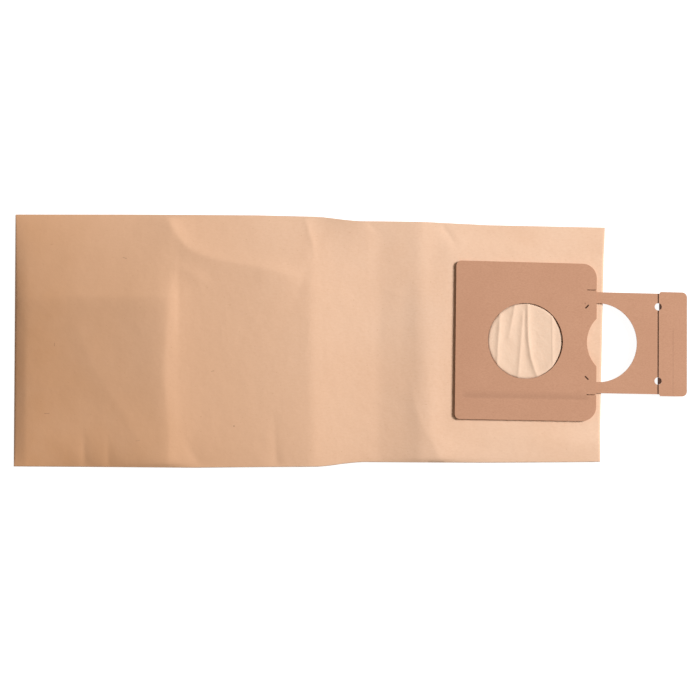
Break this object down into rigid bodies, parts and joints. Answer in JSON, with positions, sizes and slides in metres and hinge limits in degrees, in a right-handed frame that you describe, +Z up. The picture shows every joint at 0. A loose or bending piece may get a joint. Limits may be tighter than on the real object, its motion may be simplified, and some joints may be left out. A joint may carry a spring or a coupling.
{
  "type": "vacuum dust bag",
  "caption": "Long flat kraft paper dust bag with a card collar at one end, a round inlet and a card tab that slides in the collar.",
  "frame": {"origin": "on the table, under the middle of the whole with its tab drawn out", "axes": "+X along the bag towards the collar and tab, +Y across the bag, +Z up, out of the face with the inlet"},
  "size_m": [0.6468, 0.2392, 0.0171],
  "materials": {
    "kraft_paper": "matt brown kraft paper, creased",
    "filter_paper": "matt light filter paper, finely wrinkled",
    "brown_card": "matt brown chipboard card"
  },
  "bodies": {
    "bag": {"paper_bag": "kraft_paper", "inner_ply": "filter_paper", "back_plate": "brown_card", "channel_card": "brown_card", "front_plate": "brown_card"},
    "slide": {"slide_tab": "brown_card"}
  },
  "joints": [
    {"name": "tab_slide", "type": "slide", "parent": "bag", "child": "slide", "axis": [0.9992, -0.0227, -0.0314], "range_m": [-0.0714, 0]}
  ]
}
